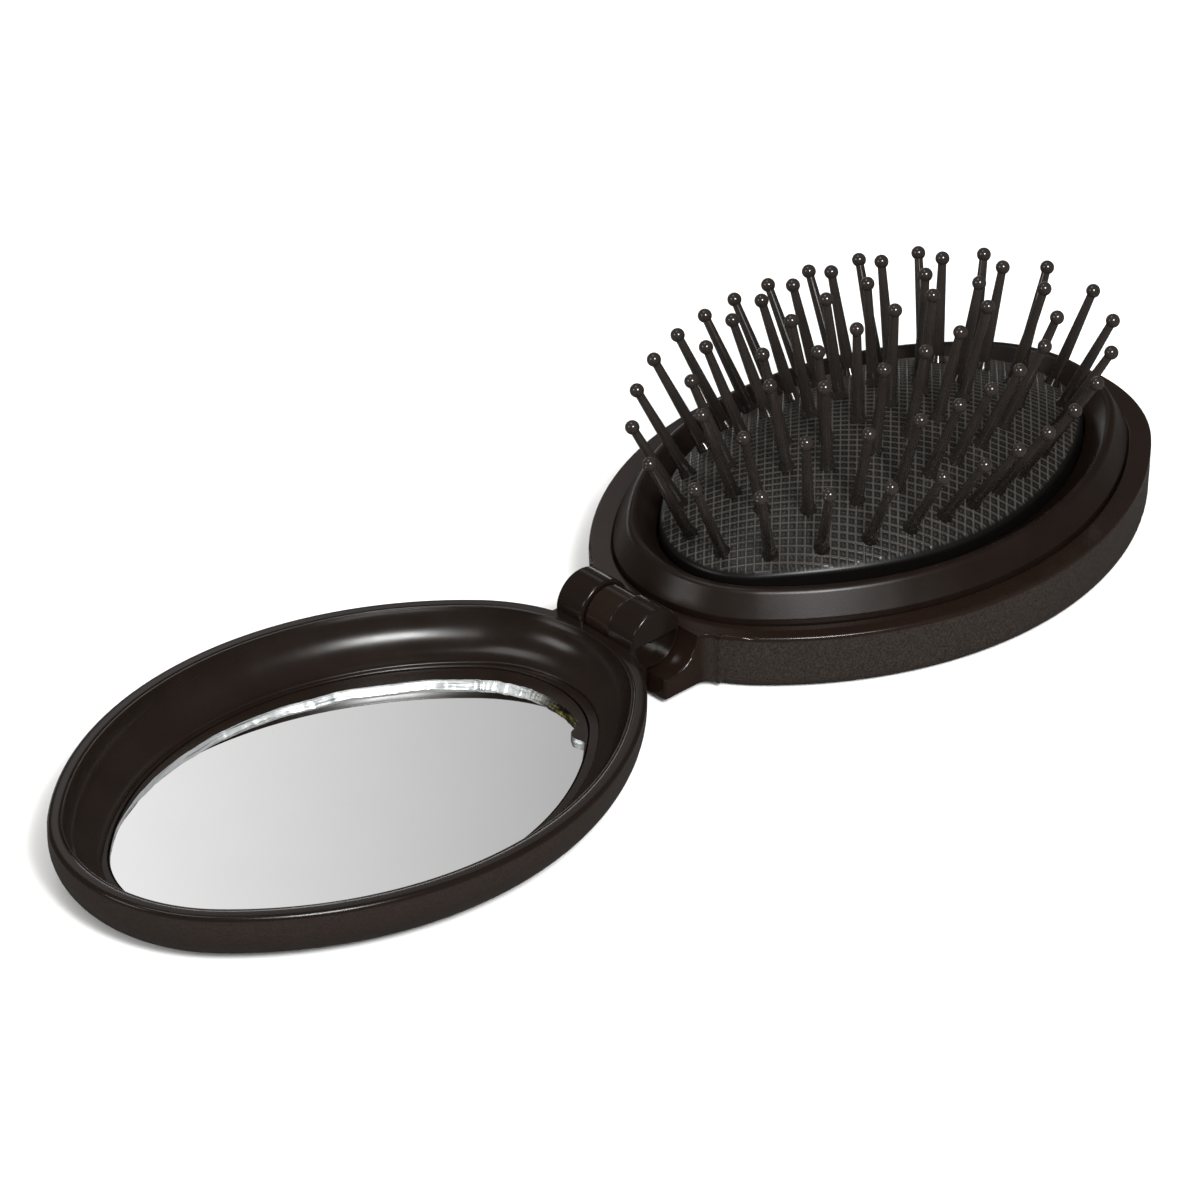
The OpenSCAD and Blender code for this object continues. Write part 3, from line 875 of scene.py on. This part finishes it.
class HAIRBRUSH_OT_stage(bpy.types.Operator):
    """Sets the floor, the soft light and the camera"""
    bl_idname = "hairbrush.stage"
    bl_label = "Stage"

    def execute(self, context):
        self.floor()
        self.world()
        for light in LIGHTS:
            area_light(*light)
        self.card()
        self.camera(context.scene.hairbrush.stage)
        context.scene.view_settings.view_transform = "Standard"
        return {"FINISHED"}

    def floor(self):
        """White paper. In reflections it is a dim grey, as under a lamp that only lights the brush."""
        material, tree = new_material("floor_white_paper")
        mirrored = add_node(tree, "ShaderNodeLightPath").outputs["Is Glossy Ray"]
        surface(tree, "ShaderNodeBsdfDiffuse", {
            "Color": two_colours(tree, mirrored, "#fafafa", "#5e5c5a"), "Roughness": 0.5})
        floor = flat_sheet("floor", FLOOR_HALF, FLOOR_HALF, material)

    def world(self):
        """An even fill for matt surfaces, which the gloss sees as a dim room."""
        world = bpy.data.worlds.new("studio")
        bpy.context.scene.world = world
        world.use_nodes = True
        tree = world.node_tree
        tree.nodes.clear()
        mirrored = add_node(tree, "ShaderNodeLightPath").outputs["Is Glossy Ray"]
        back = add_node(tree, "ShaderNodeBackground", {
            "Color": linear("#fbfaf8"), "Strength": remap(tree, mirrored, UNIT, (FILL, ROOM))})
        add_node(tree, "ShaderNodeOutputWorld", {"Surface": back.outputs[0]})

    def card(self):
        """A grey card that the mirror sees, brighter towards one side."""
        material, tree = new_material("reflector_grey_card")
        spot = add_node(tree, "ShaderNodeTexCoord").outputs["Object"]
        sideways = add_node(tree, "ShaderNodeSeparateXYZ", {"Vector": spot}).outputs["X"]
        strength = remap(tree, sideways, CARD_SPAN, CARD_LIGHT, clamp=False)
        surface(tree, "ShaderNodeEmission", {"Color": linear("#fffdfe"), "Strength": strength})
        # The camera's right, and where a level mirror sends its line of sight. The silver's lean
        # turns that by twice its angle.
        across = Vector((0.727, -0.686, 0)).normalized()
        level = Vector((0.58, 0.614, 0.535)).normalized()
        away = Matrix.Rotation(math.radians(1.9), 3, -across) @ level
        rise = across.cross(away)
        glass = Vector((-0.0484, 0, 0.0018))
        place = glass + away * CARD_AWAY + across * CARD_SHIFT[0] + rise * CARD_SHIFT[1]
        axes = Matrix((across, rise, -away)).transposed().to_4x4()
        card = flat_sheet("reflector_card", *CARD_HALF, material)
        card.matrix_world = Matrix.Translation(place) @ axes

    def camera(self, settings):
        """The camera, aimed at the hinge from the front left."""
        turn, rise = settings.azimuth, settings.elevation
        back = Vector((math.sin(turn) * math.cos(rise), -math.cos(turn) * math.cos(rise), math.sin(rise)))
        right = Vector((math.cos(turn), math.sin(turn), 0))
        up = back.cross(right)
        place = (back * settings.distance + right * settings.shift_right + up * settings.shift_up
                 + Vector((0, 0, RIM_Z * MM)))
        data = bpy.data.cameras.new("camera")
        data.lens = settings.lens
        data.sensor_width = 36.0
        data.clip_start, data.clip_end = 0.05, 20.0
        camera = bpy.data.objects.new("camera", data)
        camera.matrix_world = Matrix.Translation(place) @ Matrix((right, up, back)).transposed().to_4x4()
        bpy.context.scene.collection.objects.link(camera)
        bpy.context.scene.camera = camera


# ---- panel and registration -----------------------------------------------------------------

class HAIRBRUSH_PT_panel(bpy.types.Panel):
    """Settings and steps of the hairbrush"""
    bl_idname = "HAIRBRUSH_PT_panel"
    bl_label = "Hairbrush"
    bl_space_type = "VIEW_3D"
    bl_region_type = "UI"
    bl_category = "Hairbrush"

    def draw(self, context):
        settings = context.scene.hairbrush
        for group, step in ((None, HAIRBRUSH_OT_plastics), (settings.rings, HAIRBRUSH_OT_rings),
                            (settings.cushion, HAIRBRUSH_OT_cushion),
                            (settings.glass, HAIRBRUSH_OT_glass), (settings.stage, HAIRBRUSH_OT_stage)):
            part = self.layout.box()
            for key in group.__annotations__ if group else ():
                part.prop(group, key)
            part.operator(step.bl_idname)


STEPS = (HAIRBRUSH_OT_plastics, HAIRBRUSH_OT_rings, HAIRBRUSH_OT_cushion, HAIRBRUSH_OT_glass,
         HAIRBRUSH_OT_stage)
CLASSES = (HAIRBRUSH_PG_cushion, HAIRBRUSH_PG_glass, HAIRBRUSH_PG_rings, HAIRBRUSH_PG_stage,
           HAIRBRUSH_PG_settings, *STEPS, HAIRBRUSH_PT_panel)


def register():
    """Registers the classes and hangs the settings on the scene."""
    for cls in CLASSES:
        bpy.utils.register_class(cls)
    bpy.types.Scene.hairbrush = PointerProperty(type=HAIRBRUSH_PG_settings)


def unregister():
    """Takes the settings and the classes away."""
    del bpy.types.Scene.hairbrush
    for cls in reversed(CLASSES):
        bpy.utils.unregister_class(cls)


def main():
    """Runs every step in order."""
    register()
    for step in STEPS:
        group, name = step.bl_idname.split(".")
        getattr(getattr(bpy.ops, group), name)()


if __name__ == "__main__":
    main()
